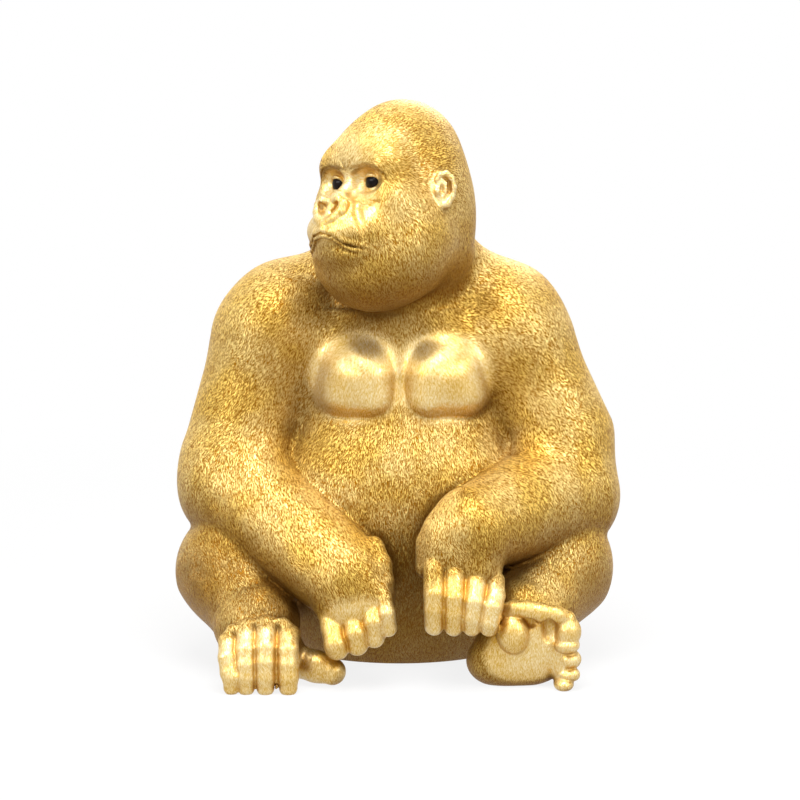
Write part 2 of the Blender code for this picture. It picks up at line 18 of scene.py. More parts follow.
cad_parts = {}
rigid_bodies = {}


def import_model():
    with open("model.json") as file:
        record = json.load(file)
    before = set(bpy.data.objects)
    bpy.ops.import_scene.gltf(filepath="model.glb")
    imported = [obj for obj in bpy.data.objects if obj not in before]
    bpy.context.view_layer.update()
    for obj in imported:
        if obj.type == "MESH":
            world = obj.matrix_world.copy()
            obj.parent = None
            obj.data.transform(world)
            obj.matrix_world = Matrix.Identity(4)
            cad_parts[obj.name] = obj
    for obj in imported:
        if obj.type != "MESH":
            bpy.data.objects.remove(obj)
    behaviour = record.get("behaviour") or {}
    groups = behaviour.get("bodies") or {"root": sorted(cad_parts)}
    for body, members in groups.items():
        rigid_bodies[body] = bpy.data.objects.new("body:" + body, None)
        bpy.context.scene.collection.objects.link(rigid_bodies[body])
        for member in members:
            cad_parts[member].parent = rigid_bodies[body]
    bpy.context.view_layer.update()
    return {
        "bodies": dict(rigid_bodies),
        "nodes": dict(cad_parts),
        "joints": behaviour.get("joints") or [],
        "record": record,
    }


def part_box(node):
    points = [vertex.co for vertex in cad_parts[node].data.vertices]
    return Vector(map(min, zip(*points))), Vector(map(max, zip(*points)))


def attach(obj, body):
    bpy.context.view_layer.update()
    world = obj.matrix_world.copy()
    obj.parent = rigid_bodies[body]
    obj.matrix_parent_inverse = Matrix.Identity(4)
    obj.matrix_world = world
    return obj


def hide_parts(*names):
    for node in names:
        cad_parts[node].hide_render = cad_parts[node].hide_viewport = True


# Sculpting resolution
BLOCK_VOXEL = 0.0028
SKIN_VOXEL = 0.0012
CASTING_TRIANGLES = 185000

# Head: where it sits, how far it looks to its right, and how far it leans
HEAD_CENTRE = Vector((-0.005, -0.0255, 0.332))
HEAD_TURN = math.radians(-44.5)
HEAD_LEAN = math.radians(-5)

# Creases of the face: how far above the skin the cheek's runs, and the radii of the brow's
FOLD_LIFT = 0.0014
CREASE_RADII = (0.0006, 0.0009, 0.0010, 0.0009, 0.0007, 0.0004)

# Frames that the masses are placed in
WORLD = Matrix.Identity(4)
HEAD = (
    Matrix.Translation(HEAD_CENTRE)
    @ Matrix.Rotation(HEAD_TURN, 4, "Z")
    @ Matrix.Rotation(HEAD_LEAN, 4, "Y")
)

# Bead eyes and the sockets they are set in
BEAD_RADIUS = 0.0067
SOCKET_GAP = 0.0001
EYE_APART = 0.0162
EYE_BACK = -0.0326
EYE_UP = 0.0026
EYE_SPLAY = math.radians(8)
LID_REACH = 0.0071

# Webs between fingers and toes: their radius and how far they lie behind the bones
WEB_RADIUS = 0.0042
WEB_SUNK = Vector((0, 0.0024, -0.0010))

# Distance fields: the largest value, the smallest divisor, and how far beyond a mass it is felt
FAR = 1.0
TINY = 1e-9
NEARBY = 0.012

# Moving points onto the skin: the step a slope is measured over, and how many times they move
SLOPE_STEP = 0.0002
LAYING_ROUNDS = 8

# Settling the skin: how far it moves at most in a round, and how much it is evened
MOST_STEP = 0.003
EVENING = 0.4

# The flat underside: points within this height count as on it
FLAT_WELD = 1e-5


class Egg:
    """An ellipsoid mass. Its radii run along the axes of a frame."""

    def __init__(self, frame, centre, radii, blend=0.004, carve=False, turn=(0, 0, 0)):
        turned = Euler([math.radians(angle) for angle in turn]).to_matrix()
        self.axes = np.array(frame.to_3x3() @ turned)
        self.centre = np.array(frame @ Vector(centre))
        self.radii = np.array(radii)
        self.blend = blend
        self.carve = carve
        self.middle = self.centre
        self.size = max(radii)

    def distance(self, points):
        local = (points - self.centre) @ self.axes
        near = np.sqrt(((local / self.radii) ** 2).sum(1))
        slope = np.sqrt(((local / self.radii**2) ** 2).sum(1))
        return near * (near - 1) / np.maximum(slope, TINY)

    def block_out(self, ball):
        return self.centre + (ball * self.radii) @ self.axes.T


class Limb:
    """A round bar between two points, with its own radius at each end."""

    def __init__(self, frame, start, end, radii, blend=0.004, carve=False):
        self.start = np.array(frame @ Vector(start))
        self.end = np.array(frame @ Vector(end))
        self.radii = radii
        self.blend = blend
        self.carve = carve
        self.length = np.linalg.norm(self.end - self.start)
        self.middle = (self.start + self.end) / 2
        self.size = self.length / 2 + max(radii)

    def distance(self, points):
        along = (self.end - self.start) / self.length
        taper = (self.radii[0] - self.radii[1]) / self.length
        offset = points - self.start
        height = offset @ along
        out = np.sqrt(np.maximum((offset**2).sum(1) - height**2, 0))
        share = np.clip((height + out * taper) / self.length, 0, 1)
        radius = self.radii[0] + share * (self.radii[1] - self.radii[0])
        return np.hypot(out, height - share * self.length) - radius

    def block_out(self, ball):
        top = (ball @ (self.end - self.start) > 0)[:, None]
        return np.where(top, self.end + ball * self.radii[1], self.start + ball * self.radii[0])


class Group:
    """Masses of one body part. It melts into the figure at its joint and lies against it elsewhere."""

    def __init__(self, masses, joint, reach, melt, crease):
        self.masses = masses
        self.joint = np.array(joint)
        self.reach = reach
        self.melt = melt
        self.crease = crease
        solid = [mass for mass in masses if not mass.carve]
        self.low = np.min([mass.middle - mass.size for mass in solid], axis=0) - NEARBY
        self.high = np.max([mass.middle + mass.size for mass in solid], axis=0) + NEARBY

    def distance(self, points):
        total = np.full(len(points), FAR)
        for mass in self.masses:
            reach = mass.size + NEARBY + mass.blend
            near = np.flatnonzero(((points - mass.middle) ** 2).sum(1) < reach**2)
            found = mass.distance(points[near])
            if mass.carve:
                total[near] = -blended(-total[near], found, mass.blend)
            else:
                total[near] = blended(total[near], found, mass.blend)
        return total

    def blend_at(self, points):
        from_joint = ((points - self.joint) ** 2).sum(1) / self.reach**2
        return self.crease + (self.melt - self.crease) * np.exp(-from_joint)


def blended(one, other, width):
    """The smooth union of two distances: a fillet about as wide as width fills their crease."""
    share = np.clip(0.5 + 0.5 * (other - one) / width, 0, 1)
    return other * (1 - share) + one * share - width * share * (1 - share)


def laid(masses, frame, points, sunk=0.0):
    """The points of a frame, moved onto the skin of the masses, or sunk under it by a depth."""
    group = Group(masses, (0, 0, 0), 1, 0, 0)
    placed = np.array([frame @ Vector(point) for point in points])
    steps = np.eye(3) * SLOPE_STEP
    for _ in range(LAYING_ROUNDS):
        here = group.distance(placed)
        slope = [(group.distance(placed + step) - here) / SLOPE_STEP for step in steps]
        slope = np.stack(slope, axis=1)
        slope /= np.maximum(np.linalg.norm(slope, axis=1), TINY)[:, None]
        placed -= slope * (here + sunk)[:, None]
    back = frame.inverted()
    return [tuple(back @ Vector(point)) for point in placed]


def chain(frame, points, radii, blend=0.004, carve=False):
    """Limbs end to end through the points, with one radius at each."""
    return [
        Limb(frame, start, end, ends, blend, carve)
        for start, end, ends in zip(points, points[1:], zip(radii, radii[1:]))
    ]


def webs(digits):
    """Bars sunk between neighbouring digits, along their bones, that make the grooves shallow."""
    masses = []
    for one, other in zip(digits, digits[1:]):
        middle = [Vector(near).lerp(Vector(far), 0.5) + WEB_SUNK for near, far in zip(one, other)]
        masses += chain(WORLD, middle[:-1], [WEB_RADIUS] * (len(middle) - 1), 0.0008)
    return masses


def torso():
    masses = [
        Egg(WORLD, (0, 0.026, 0.056), (0.110, 0.098, 0.092), 0.03),
        Egg(WORLD, (0, -0.004, 0.106), (0.096, 0.071, 0.084), 0.03),
        Egg(WORLD, (0, 0.052, 0.150), (0.098, 0.066, 0.088), 0.03),
        Egg(WORLD, (0, 0.018, 0.196), (0.088, 0.060, 0.060), 0.03),
        Egg(WORLD, (0, 0.044, 0.218), (0.092, 0.054, 0.048), 0.03),
        Limb(WORLD, (-0.070, 0.020, 0.242), (0.066, 0.022, 0.240), (0.027, 0.027), 0.02),
    ]
    for side in (-1, 1):
        slope = ((side * 0.018, 0.020, 0.282), (side * 0.076, 0.022, 0.246))
        masses.append(Limb(WORLD, *slope, (0.022, 0.025), 0.02))
    return Group(masses, (0, 0, 0), 1, 0.01, 0.01)


def pec(side):
    """A full cushion of chest, creased below and down the middle, narrower on the figure's right."""
    outer = 0.0400 if side > 0 else 0.0355
    masses = [
        Egg(WORLD, (side * 0.0230, -0.0215, 0.1985), (0.0250, 0.0350, 0.0285), 0.014),
        Egg(WORLD, (side * outer, -0.0155, 0.1985), (0.0225, 0.0330, 0.0285), 0.014),
        Egg(WORLD, (side * 0.0190, -0.0225, 0.1835), (0.0200, 0.0330, 0.0160), 0.010),
        Egg(WORLD, (side * (outer + 0.0020), -0.0165, 0.1850), (0.0215, 0.0320, 0.0175), 0.010),
    ]
    return Group(masses, (side * 0.058, -0.010, 0.236), 0.038, 0.030, 0.0020)


def skull_masses():
    masses = [
        Egg(HEAD, (0, 0.009, -0.002), (0.044, 0.048, 0.050), 0.012),
        Egg(HEAD, (0, 0.012, 0.021), (0.034, 0.042, 0.037), 0.012),
        Egg(HEAD, (0, -0.012, 0.021), (0.033, 0.027, 0.021), 0.012),
        Egg(HEAD, (0, 0.026, -0.030), (0.040, 0.034, 0.052), 0.016),
        Egg(HEAD, (0, -0.020, -0.050), (0.042, 0.041, 0.036), 0.016),
        Limb(HEAD, (-0.022, -0.0275, 0.013), (0.022, -0.0275, 0.013), (0.0145, 0.0145), 0.010),
        Limb(HEAD, (-0.024, -0.0250, -0.010), (0.024, -0.0250, -0.010), (0.0185, 0.0185), 0.008),
    ]
    for side in (-1, 1):
        masses.append(Egg(HEAD, (side * 0.025, -0.012, -0.038), (0.025, 0.034, 0.034), 0.014))
    return masses


def brow_masses(side, skin):
    """The socket is sunk under the brow, with a crisp crease along its top."""
    crease = [
        (side * 0.0010, -0.0445, 0.0115),
        (side * 0.0070, -0.0440, 0.0130),
        (side * 0.0170, -0.0425, 0.0145),
        (side * 0.0240, -0.0395, 0.0130),
        (side * 0.0285, -0.0365, 0.0085),
        (side * 0.0300, -0.0350, 0.0035),
    ]
    frown = [
        (side * 0.0010, -0.0440, 0.0120),
        (side * 0.0040, -0.0430, 0.0165),
        (side * 0.0060, -0.0430, 0.0190),
    ]
    return [
        Egg(HEAD, (side * 0.0168, -0.0448, 0.0046), (0.0145, 0.0098, 0.0096), 0.0015, carve=True),
        *chain(HEAD, laid(skin, HEAD, crease), CREASE_RADII, 0.0010, carve=True),
        *chain(HEAD, laid(skin, HEAD, frown), (0.0006, 0.0005, 0.0002), 0.0010, carve=True),
    ]


def eye_frame(side):
    place = Matrix.Translation((side * EYE_APART, EYE_BACK, EYE_UP))
    return HEAD @ place @ Matrix.Rotation(side * EYE_SPLAY, 4, "Z")


def lid(side, drop, wide, rise, radii, blend):
    """A roll of eyelid over a bead, from its inner to its outer corner."""
    points = []
    for step in range(-4, 5):
        share = step / 4
        x = wide * share
        z = rise * math.sqrt(max(1 - share**2, 0)) + drop
        y = -math.sqrt(max(LID_REACH**2 - x**2 - z**2, 0))
        points.append((side * x, y, z))
    sizes = [radii[0] + (radii[1] - radii[0]) * (1 - abs(step) / 4) for step in range(-4, 5)]
    return chain(eye_frame(side), points, sizes, blend)


def eye_masses(side):
    """A mound of flesh under the brow, a socket for the bead, and two rolled lids."""
    frame = eye_frame(side)
    return [
        Egg(frame, (0, 0.0015, 0), (0.0098, 0.0046, 0.0080), 0.0020),
        Egg(frame, (0, 0, 0), (BEAD_RADIUS + SOCKET_GAP,) * 3, 0.0005, carve=True),
        *lid(side, 0.0003, 0.0066, 0.0047, (0.0007, 0.0013), 0.0008),
        *lid(side, -0.0002, 0.0066, -0.0045, (0.0007, 0.0011), 0.0008),
    ]


def nose_masses():
    masses = [
        Limb(HEAD, (0, -0.031, 0.008), (0, -0.050, -0.006), (0.0042, 0.0050), 0.004),
        Egg(HEAD, (0, -0.0530, -0.0150), (0.0140, 0.0080, 0.0110), 0.005),
        Limb(HEAD, (0, -0.0590, -0.0090), (0, -0.0630, -0.0170), (0.0020, 0.0024), 0.0015),
    ]
    for side in (-1, 1):
        wing = [
            (side * 0.0030, -0.0590, -0.0080),
            (side * 0.0075, -0.0595, -0.0076),
            (side * 0.0116, -0.0590, -0.0104),
            (side * 0.0110, -0.0610, -0.0152),
            (side * 0.0072, -0.0645, -0.0200),
            (side * 0.0008, -0.0670, -0.0235),
        ]
        masses += chain(HEAD, wing, (0.0022, 0.0032, 0.0037, 0.0040, 0.0040, 0.0036), 0.0009)
    for side in (-1, 1):
        place, radii = (side * 0.0064, -0.0628, -0.0124), (0.0026, 0.0044, 0.0048)
        masses.append(Egg(HEAD, place, radii, 0.0010, carve=True, turn=(0, side * 35, 0)))
    return masses


def muzzle_masses():
    return [
        Egg(HEAD, (0, -0.042, -0.029), (0.033, 0.026, 0.021), 0.008),
        Egg(HEAD, (0, -0.051, -0.028), (0.025, 0.019, 0.013), 0.005),
        Egg(HEAD, (0, -0.046, -0.043), (0.027, 0.021, 0.013), 0.006),
    ]


def mouth_masses(skin):
    """A frowning line between two thin rolled lips."""
    line = [
        (0.0240, -0.0540, -0.0415),
        (0.0190, -0.0580, -0.0395),
        (0.0140, -0.0620, -0.0358),
        (0.0070, -0.0670, -0.0302),
        (0.0000, -0.0690, -0.0287),
    ]
    line += [(-x, y, z) for x, y, z in reversed(line[:-1])]
    sizes = (0.0003, 0.0005, 0.0006, 0.0007, 0.0007, 0.0007, 0.0006, 0.0005, 0.0003)
    line = laid(skin, HEAD, line)
    upper = laid(skin, HEAD, [(x, y, z + 0.0022) for x, y, z in line], 0.0008)
    lower = laid(skin, HEAD, [(x, y, z - 0.0020) for x, y, z in line], 0.0008)
    under = laid(skin, HEAD, [(x, y, z - 0.0044) for x, y, z in line], -0.0003)
    return [
        *chain(HEAD, upper, [size * 1.5 + 0.0007 for size in sizes], 0.0020),
        *chain(HEAD, lower, [size * 1.5 + 0.0007 for size in sizes], 0.0015),
        *chain(HEAD, line, sizes, 0.0008, carve=True),
        *chain(HEAD, under, [size * 0.8 for size in sizes], 0.0015, carve=True),
    ]


def cheek_masses(side, skin):
    """The groove from the nose down to the corner of the mouth, and wrinkles fanned under the eye."""
    fold = [
        (side * 0.0120, -0.0500, -0.0060),
        (side * 0.0160, -0.0520, -0.0120),
        (side * 0.0190, -0.0540, -0.0190),
        (side * 0.0210, -0.0540, -0.0260),
        (side * 0.0225, -0.0530, -0.0330),
    ]
    groove = laid(skin, HEAD, fold, -FOLD_LIFT)
    masses = chain(HEAD, groove, (0.0012, 0.0026, 0.0034, 0.0032, 0.0014), 0.0020, carve=True)
    for step in range(4):
        start = (side * (0.0095 + 0.0032 * step), -0.050, -0.0050)
        end = (side * (0.0130 + 0.0058 * step), -0.046, -0.0150 + 0.0016 * step)
        wrinkle = laid(skin, HEAD, [start, end])
        masses += chain(HEAD, wrinkle, (0.0003, 0.0006), 0.0010, carve=True)
    return masses


def ear_masses(side):
    """A thick C of rim around a folded cup."""
    rim = [
        (side * 0.0450, -0.0030, 0.0015),
        (side * 0.0465, -0.0010, 0.0050),
        (side * 0.0485, 0.0030, 0.0055),
        (side * 0.0500, 0.0062, 0.0018),
        (side * 0.0505, 0.0072, -0.0040),
        (side * 0.0495, 0.0058, -0.0100),
        (side * 0.0475, 0.0026, -0.0150),
        (side * 0.0455, -0.0004, -0.0160),
    ]
    fold = [
        (side * 0.0465, 0.0000, 0.0015),
        (side * 0.0475, 0.0030, -0.0010),
        (side * 0.0475, 0.0026, -0.0060),
        (side * 0.0465, 0.0000, -0.0090),
    ]
    return [
        Egg(HEAD, (side * 0.0435, 0.0020, -0.0050), (0.0050, 0.0065, 0.0120), 0.003),
        *chain(HEAD, rim, (0.0014, 0.0018, 0.0021, 0.0022, 0.0022, 0.0023, 0.0027, 0.0024), 0.0012),
        *chain(HEAD, fold, (0.0009, 0.0012, 0.0012, 0.0009), 0.0010),
        Egg(HEAD, (side * 0.0455, -0.0040, -0.0060), (0.0022, 0.0018, 0.0032), 0.0015),
        Egg(HEAD, (side * 0.0485, -0.0008, -0.0050), (0.0026, 0.0016, 0.0040), 0.0010, carve=True),
        Egg(HEAD, (side * 0.0490, 0.0048, -0.0040), (0.0018, 0.0010, 0.0060), 0.0010, carve=True),
    ]


def head():
    skin = skull_masses() + muzzle_masses()
    masses = skin + mouth_masses(skin)
    for side in (-1, 1):
        masses += brow_masses(side, skin) + cheek_masses(side, skin) + ear_masses(side)
    for side in (-1, 1):
        masses += eye_masses(side)
    masses += nose_masses()
    return Group(masses, HEAD @ Vector((0, 0.030, -0.050)), 0.045, 0.016, 0.003)


def neck():
    masses = [
        Limb(WORLD, (0, 0.020, 0.250), (0.002, 0.004, 0.300), (0.058, 0.040), 0.03),
    ]
    return Group(masses, (0, 0.02, 0.26), 0.2, 0.03, 0.03)


def right_arm():
    """The gorilla's right arm, on the viewer's left."""
    masses = [
        Egg(WORLD, (-0.087, 0.012, 0.226), (0.038, 0.046, 0.046), 0.02),
        Limb(WORLD, (-0.094, 0.006, 0.218), (-0.112, -0.008, 0.142), (0.038, 0.041), 0.02),
        Limb(WORLD, (-0.115, -0.022, 0.120), (-0.036, -0.092, 0.070), (0.041, 0.031), 0.015),
    ]
    return Group(masses, (-0.085, 0.01, 0.23), 0.06, 0.03, 0.004)


def left_arm():
    masses = [
        Egg(WORLD, (0.079, 0.014, 0.222), (0.037, 0.046, 0.045), 0.02),
        Limb(WORLD, (0.087, 0.010, 0.212), (0.111, -0.004, 0.152), (0.037, 0.041), 0.02),
        Limb(WORLD, (0.112, -0.020, 0.114), (0.050, -0.090, 0.104), (0.043, 0.030), 0.015),
    ]
    return Group(masses, (0.085, 0.01, 0.23), 0.06, 0.03, 0.004)


def right_leg():
    masses = [
        Limb(WORLD, (-0.055, 0.045, 0.050), (-0.112, -0.032, 0.066), (0.050, 0.042), 0.02),
        Limb(WORLD, (-0.113, -0.040, 0.060), (-0.098, -0.080, 0.037), (0.040, 0.030), 0.015),
    ]
    return Group(masses, (-0.055, 0.045, 0.05), 0.06, 0.03, 0.004)


def left_leg():
    masses = [
        Limb(WORLD, (0.055, 0.045, 0.048), (0.106, -0.026, 0.070), (0.050, 0.041), 0.02),
        Limb(WORLD, (0.106, -0.036, 0.060), (0.084, -0.082, 0.040), (0.040, 0.030), 0.015),
    ]
    return Group(masses, (0.055, 0.045, 0.05), 0.06, 0.03, 0.004)


def left_hand():
    """Fingers that hang over the left foot, with the thumb tucked in beside them."""
    masses = [
        Egg(WORLD, (0.029, -0.098, 0.091), (0.017, 0.021, 0.029), 0.008),
        Egg(WORLD, (0.051, -0.097, 0.084), (0.019, 0.021, 0.028), 0.012),
        Limb(WORLD, (0.018, -0.100, 0.096), (0.0165, -0.106, 0.080), (0.0070, 0.0060), 0.004),
    ]
    fingers = (
        (0.0228, 0.000, 0.083, 0.0450, 0.0072),
        (0.0360, 0.000, 0.078, 0.0445, 0.0072),
        (0.0502, -0.002, 0.072, 0.0445, 0.0072),
        (0.0635, -0.004, 0.066, 0.0440, 0.0070),
    )
    digits = []
    for x, lean, knuckle, tip, radius in fingers:
        middle = (knuckle + tip) / 2
        bones = [
            (x, -0.1060, knuckle + 0.006),
            (x, -0.1160, knuckle - 0.002),
            (x + lean / 2, -0.1235, middle + 0.003),
            (x + lean, -0.1245, middle - 0.007),
            (x + lean, -0.1220, tip),
        ]
        sizes = (radius, radius, radius, radius * 0.97, radius * 0.90)
        masses += chain(WORLD, bones, sizes, 0.0012)
        digits.append(bones)
    masses += webs(digits)
    return Group(masses, (0.046, -0.092, 0.108), 0.022, 0.014, 0.002)


def right_hand():
    """A loose fist with its knuckles forward, between the feet."""
    thumb = [(-0.018, -0.092, 0.092), (-0.012, -0.102, 0.082), (-0.009, -0.106, 0.072)]
    masses = [
        Egg(WORLD, (-0.030, -0.104, 0.058), (0.028, 0.020, 0.024), 0.008, turn=(0, -28, 0)),
        *chain(WORLD, thumb, (0.0075, 0.0065, 0.0055), 0.003),
    ]
    fingers = (
        (-0.0098, 0.0640, 0.0430, 0.0058),
        (-0.0190, 0.0580, 0.0362, 0.0066),
        (-0.0305, 0.0505, 0.0315, 0.0072),
        (-0.0440, 0.0430, 0.0290, 0.0078),
    )
    digits = []
    for x, knuckle, low, radius in fingers:
        bones = [
            (x - 0.004, -0.1060, knuckle + 0.010),
            (x - 0.001, -0.1155, knuckle - 0.002),
            (x + 0.001, -0.1215, knuckle - 0.011),
            (x + 0.002, -0.1195, low),
            (x + 0.001, -0.1060, low - 0.001),
        ]
        masses += chain(WORLD, bones, [radius] * 5, 0.0012)
        digits.append(bones)
    masses += webs(digits)
    return Group(masses, (-0.036, -0.090, 0.070), 0.022, 0.014, 0.002)


def right_foot():
    """Four toes hang over the front like fingers under a raised edge. The big toe points across."""
    masses = [
        Egg(WORLD, (-0.0930, -0.097, 0.0205), (0.0285, 0.025, 0.0235), 0.008),
        Egg(WORLD, (-0.092, -0.074, 0.014), (0.021, 0.022, 0.020), 0.010),
    ]
    toes = (
        (-0.1150, 0.0027, 0.0368, 0.0064),
        (-0.1028, 0.0003, 0.0422, 0.0069),
        (-0.0896, 0.0000, 0.0446, 0.0072),
        (-0.0748, 0.0004, 0.0428, 0.0074),
    )
    digits = []
    for x, lean, top, radius in toes:
        bend = top - radius
        bones = [
            (x * 0.7 - 0.0290, -0.1000, bend - 0.002),
            (x, -0.1140, bend),
            (x, -0.1225, bend - 0.0070),
            (x + lean / 2, -0.1262, bend - 0.0165),
            (x + lean, -0.1275, 0.0110),
            (x + lean, -0.1268, 0.0040),
        ]
        sizes = (radius, radius, radius, radius * 0.96, radius * 0.95, radius * 0.84)
        masses += chain(WORLD, bones, sizes, 0.0012)
        digits.append(bones)
    masses += webs(digits)
    edge = [
        (-0.1190, -0.1100, 0.0325),
        (-0.1125, -0.1100, 0.0390),
        (-0.1020, -0.1100, 0.0430),
        (-0.0900, -0.1100, 0.0452),
        (-0.0780, -0.1100, 0.0436),
        (-0.0690, -0.1090, 0.0370),
    ]
    masses += chain(WORLD, edge, (0.0024, 0.0030, 0.0030, 0.0030, 0.0030, 0.0024), 0.004)
    big_toe = [(-0.072, -0.094, 0.014), (-0.056, -0.104, 0.012), (-0.0455, -0.108, 0.0098)]
    masses += chain(WORLD, big_toe, (0.0115, 0.0105, 0.0092), 0.003)
    return Group(masses, (-0.094, -0.070, 0.030), 0.026, 0.010, 0.002)


def left_foot():
    """The sole faces forward, its toes stacked beside it and the big toe curled over it."""
    ridge = [
        (0.0680, -0.1090, 0.0440),
        (0.0695, -0.1110, 0.0510),
        (0.0760, -0.1140, 0.0545),
        (0.0850, -0.1160, 0.0545),
        (0.0943, -0.1165, 0.0528),
        (0.1042, -0.1160, 0.0510),
        (0.1125, -0.1140, 0.0480),
    ]
    masses = [
        Egg(WORLD, (0.085, -0.104, 0.028), (0.033, 0.0145, 0.029), 0.010),
        Egg(WORLD, (0.065, -0.099, 0.015), (0.020, 0.016, 0.017), 0.010),
        *chain(WORLD, ridge, (0.0046, 0.0050, 0.0054, 0.0056, 0.0058, 0.0056, 0.0052), 0.004),
        Limb(WORLD, (0.1120, -0.1110, 0.034), (0.1100, -0.1125, 0.004), (0.0075, 0.0065), 0.004),
        Egg(WORLD, (0.1126, -0.1130, 0.0388), (0.0091, 0.0105, 0.0105), 0.002),
        Egg(WORLD, (0.1118, -0.1150, 0.0302), (0.0088, 0.0095, 0.0060), 0.0008),
        Egg(WORLD, (0.1140, -0.1120, 0.0195), (0.0080, 0.0095, 0.0068), 0.0012),
        Egg(WORLD, (0.1132, -0.1130, 0.0095), (0.0078, 0.0090, 0.0052), 0.0012),
        Egg(WORLD, (0.1170, -0.1180, 0.0105), (0.0038, 0.0050, 0.0042), 0.0012),
        Egg(WORLD, (0.1100, -0.1165, 0.0035), (0.0068, 0.0085, 0.0048), 0.0012),
        Egg(WORLD, (0.1000, -0.1175, 0.0420), (0.0046, 0.0050, 0.0095), 0.003, carve=True),
        Egg(WORLD, (0.0865, -0.1165, 0.0465), (0.0050, 0.0040, 0.0040), 0.003, carve=True),
        Egg(WORLD, (0.0758, -0.1150, 0.0375), (0.0112, 0.0115, 0.0140), 0.0015, turn=(0, -9, 0)),
    ]
    return Group(masses, (0.078, -0.080, 0.04), 0.028, 0.010, 0.002)


def figure():
    return [
        torso(),
        pec(-1),
        pec(1),
        neck(),
        head(),
        right_leg(),
        left_leg(),
        right_arm(),
        left_arm(),
        left_hand(),
        right_hand(),
        right_foot(),
        left_foot(),
    ]


def field(groups, points):
    """The distance of each point from the skin of the finished figure, negative inside."""
    total = np.full(len(points), FAR)
    for group in groups:
        near = np.flatnonzero(((points > group.low) & (points < group.high)).all(1))
        close = points[near]
        total[near] = blended(total[near], group.distance(close), group.blend_at(close))
    return total


def unit_ball():
    bm = bmesh.new()
    bmesh.ops.create_icosphere(bm, subdivisions=3, radius=1)
    points = np.array([vertex.co for vertex in bm.verts])
    faces = np.array([[vertex.index for vertex in face.verts] for face in bm.faces])
    bm.free()
    return points, faces


def blocked_out(groups):
    """The solid masses as plain balls and capsules in one mesh, still running through each other."""
    ball, ball_faces = unit_ball()
    solid = [mass for group in groups for mass in group.masses if not mass.carve]
    points = np.concatenate([mass.block_out(ball) for mass in solid])
    faces = np.concatenate([ball_faces + index * len(ball) for index in range(len(solid))])
    mesh = bpy.data.meshes.new("gorilla_casting")
    mesh.from_pydata(points.tolist(), [], faces.tolist())
    gorilla = bpy.data.objects.new("gorilla_casting", mesh)
    bpy.context.scene.collection.objects.link(gorilla)
    return gorilla


def apply_modifiers(obj):
    graph = bpy.context.evaluated_depsgraph_get()
    made = bpy.data.meshes.new_from_object(obj.evaluated_get(graph))
    obj.modifiers.clear()
    obj.data = made


def remeshed(obj, voxel):
    remesh = obj.modifiers.new("fuse", "REMESH")
    remesh.mode = "VOXEL"
    remesh.voxel_size = voxel
    apply_modifiers(obj)


def coordinates(mesh):
    found = np.empty(len(mesh.vertices) * 3)
    mesh.vertices.foreach_get("co", found)
    return found.reshape(-1, 3)


def normals(mesh):
    found = np.empty(len(mesh.vertices) * 3)
    mesh.vertex_normals.foreach_get("vector", found)
    return found.reshape(-1, 3)


def settle(obj, groups, rounds):
    """Moves the skin along its normals until it lies on the blended masses, evening its faces."""
    mesh = obj.data
    edges = np.empty(len(mesh.edges) * 2, int)
    mesh.edges.foreach_get("vertices", edges)
    first, second = edges.reshape(-1, 2).T
    count = np.bincount(edges, minlength=len(mesh.vertices))[:, None]
    for turn in range(rounds):
        points = coordinates(mesh)
        outward = normals(mesh)
        if turn < rounds - 1:
            middle = np.zeros_like(points)
            for axis in range(3):
                middle[:, axis] += np.bincount(first, points[second, axis], len(points))
                middle[:, axis] += np.bincount(second, points[first, axis], len(points))
            slide = middle / count - points
            points += EVENING * (slide - outward * (slide * outward).sum(1)[:, None])
        gap = field(groups, points)
        points -= outward * np.clip(gap, -MOST_STEP, MOST_STEP)[:, None]
        mesh.vertices.foreach_set("co", points.ravel())
        mesh.update()


def refined(obj, spots):
    """Splits the faces near each spot in four, for forms finer than the voxels."""
    bm = bmesh.new()
    bm.from_mesh(obj.data)
    chosen = set()
    for face in bm.faces:
        middle = face.calc_center_median()
        if any((middle - centre).length < reach for centre, reach in spots):
            chosen.update(face.edges)
    bmesh.ops.subdivide_edges(bm, edges=list(chosen), cuts=1, use_grid_fill=True)
    bm.to_mesh(obj.data)
    bm.free()


def reduced(obj, triangles):
    """Fewer triangles, kept densest where the shape is finest."""
    triangulate = obj.modifiers.new("triangles", "TRIANGULATE")
    triangulate.quad_method = "SHORTEST_DIAGONAL"
    apply_modifiers(obj)
    decimate = obj.modifiers.new("reduce", "DECIMATE")
    decimate.ratio = min(1, triangles / len(obj.data.polygons))
    apply_modifiers(obj)


def cut_flat(obj):
    """Saws the underside off at z = 0 and closes it with one flat face."""
    bm = bmesh.new()
    bm.from_mesh(obj.data)
    whole = bm.verts[:] + bm.edges[:] + bm.faces[:]
    cut = bmesh.ops.bisect_plane(
        bm, geom=whole, dist=FLAT_WELD, plane_co=(0, 0, 0), plane_no=(0, 0, 1), clear_inner=True
    )
    rim = [edge for edge in cut["geom_cut"] if isinstance(edge, bmesh.types.BMEdge)]
    underside = bmesh.ops.holes_fill(bm, edges=rim)["faces"]
    bmesh.ops.triangulate(bm, faces=underside)
    for face in bm.faces:
        face.smooth = face.calc_center_median().z > FLAT_WELD
    bm.to_mesh(obj.data)
    bm.free()


# Spots whose faces are split finer: the middle and the reach of each
FINE_SPOTS = (
    (HEAD @ Vector((0, -0.045, -0.012)), 0.040),
    (HEAD @ Vector((0.050, 0.002, -0.004)), 0.016),
    (HEAD @ Vector((-0.050, 0.002, -0.004)), 0.016),
    (Vector((0.042, -0.125, 0.062)), 0.032),
    (Vector((-0.026, -0.122, 0.048)), 0.030),
    (Vector((-0.093, -0.130, 0.018)), 0.034),
    (Vector((0.090, -0.124, 0.034)), 0.040),
)

